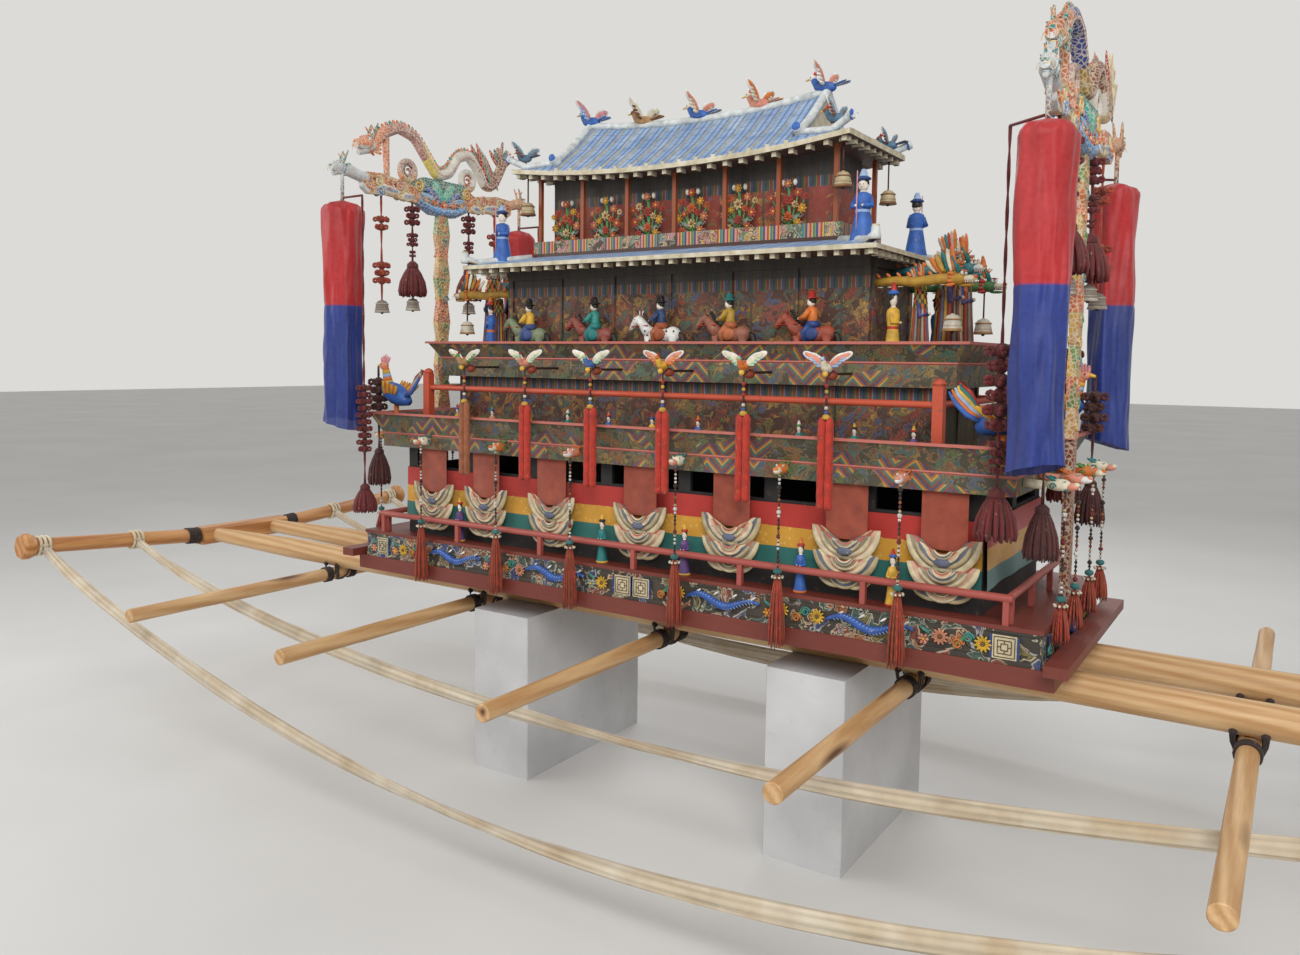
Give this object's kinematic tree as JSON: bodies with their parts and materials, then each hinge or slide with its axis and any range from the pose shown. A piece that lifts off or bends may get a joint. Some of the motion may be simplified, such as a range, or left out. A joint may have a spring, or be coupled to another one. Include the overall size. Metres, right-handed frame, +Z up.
{
  "type": "roofed ceremonial bier",
  "caption": "Tiered, roofed ceremonial bier of painted carved wood on two long poles with lashed cross poles, yokes and slack cloth ropes, standing on two plinths.",
  "frame": {"origin": "on the floor, under the middle of the body, between the two plinths", "axes": "+X along the long carrying poles, +Y away from the side seen in the picture, +Z up"},
  "size_m": [5.5096, 2.24, 2.5226],
  "materials": {
    "plinth_white": "white satin board",
    "pole_wood": "pale planed pine, clear matt",
    "yoke_wood": "orange planed wood, satin",
    "red_brown_wood": "red-brown painted wood, satin",
    "carved_panel": "painted carving, matt",
    "dark_wall": "black painted board, matt",
    "cloth_band": "red, yellow and teal cloth",
    "tray_paint": "painted pattern on wood, matt",
    "orange_rail": "orange-red painted rail, satin",
    "storey_paint": "painted storey boards, matt",
    "roof_blue": "blue painted tiles, matt",
    "roof_white": "white painted ridges, matt",
    "carved_board": "painted carving, matt",
    "silk": "red and blue thin silk",
    "petal_cloth": "layered cloth petals",
    "thread": "twisted threads",
    "figure_paint": "painted carving, matt",
    "rope_cloth": "folded undyed cotton"
  },
  "bodies": {
    "root": {"balustrade": "tray_paint", "base_bearers": "red_brown_wood", "board_hangings": "thread", "bouquets": "figure_paint", "box_panels": "carved_panel", "chamber_walls": "dark_wall", "corner_phoenixes": "figure_paint", "cross_pole_1": "pole_wood", "cross_pole_2": "pole_wood", "cross_pole_3": "pole_wood", "cross_pole_4": "pole_wood", "cross_pole_5": "pole_wood", "curtain_far": "cloth_band", "curtain_left": "cloth_band", "curtain_near": "cloth_band", "curtain_right": "cloth_band", "deck_2": "red_brown_wood", "deck_3": "red_brown_wood", "dolls": "figure_paint", "end_beasts": "figure_paint", "end_board_left": "carved_board", "end_board_right": "carved_board", "end_planks": "red_brown_wood", "gallery_deck": "red_brown_wood", "long_pole_far": "pole_wood", "long_pole_near": "pole_wood", "lower_rail": "red_brown_wood", "lower_roof": "roof_blue", "lower_tassels": "thread", "petal_pendants": "petal_cloth", "plinth_left": "plinth_white", "plinth_right": "plinth_white", "rail_birds": "figure_paint", "riders": "figure_paint", "robed_figures": "figure_paint", "roof_bells": "figure_paint", "roof_birds": "figure_paint", "roof_ridges": "roof_white", "rope_inner_far": "rope_cloth", "rope_inner_near": "rope_cloth", "rope_outer_far": "rope_cloth", "rope_outer_near": "rope_cloth", "rope_ties": "rope_cloth", "sills": "red_brown_wood", "storey_2_walls": "storey_paint", "storey_3_walls": "storey_paint", "streamer_cords": "thread", "streamer_left_far": "silk", "streamer_left_near": "silk", "streamer_right_far": "silk", "streamer_right_near": "silk", "tray_2": "tray_paint", "tray_3": "tray_paint", "upper_floor": "dark_wall", "upper_posts": "storey_paint", "upper_rail": "orange_rail", "upper_roof": "roof_blue", "upper_storey_core": "storey_paint", "yoke_left": "yoke_wood", "yoke_right": "yoke_wood"}
  },
  "joints": []
}
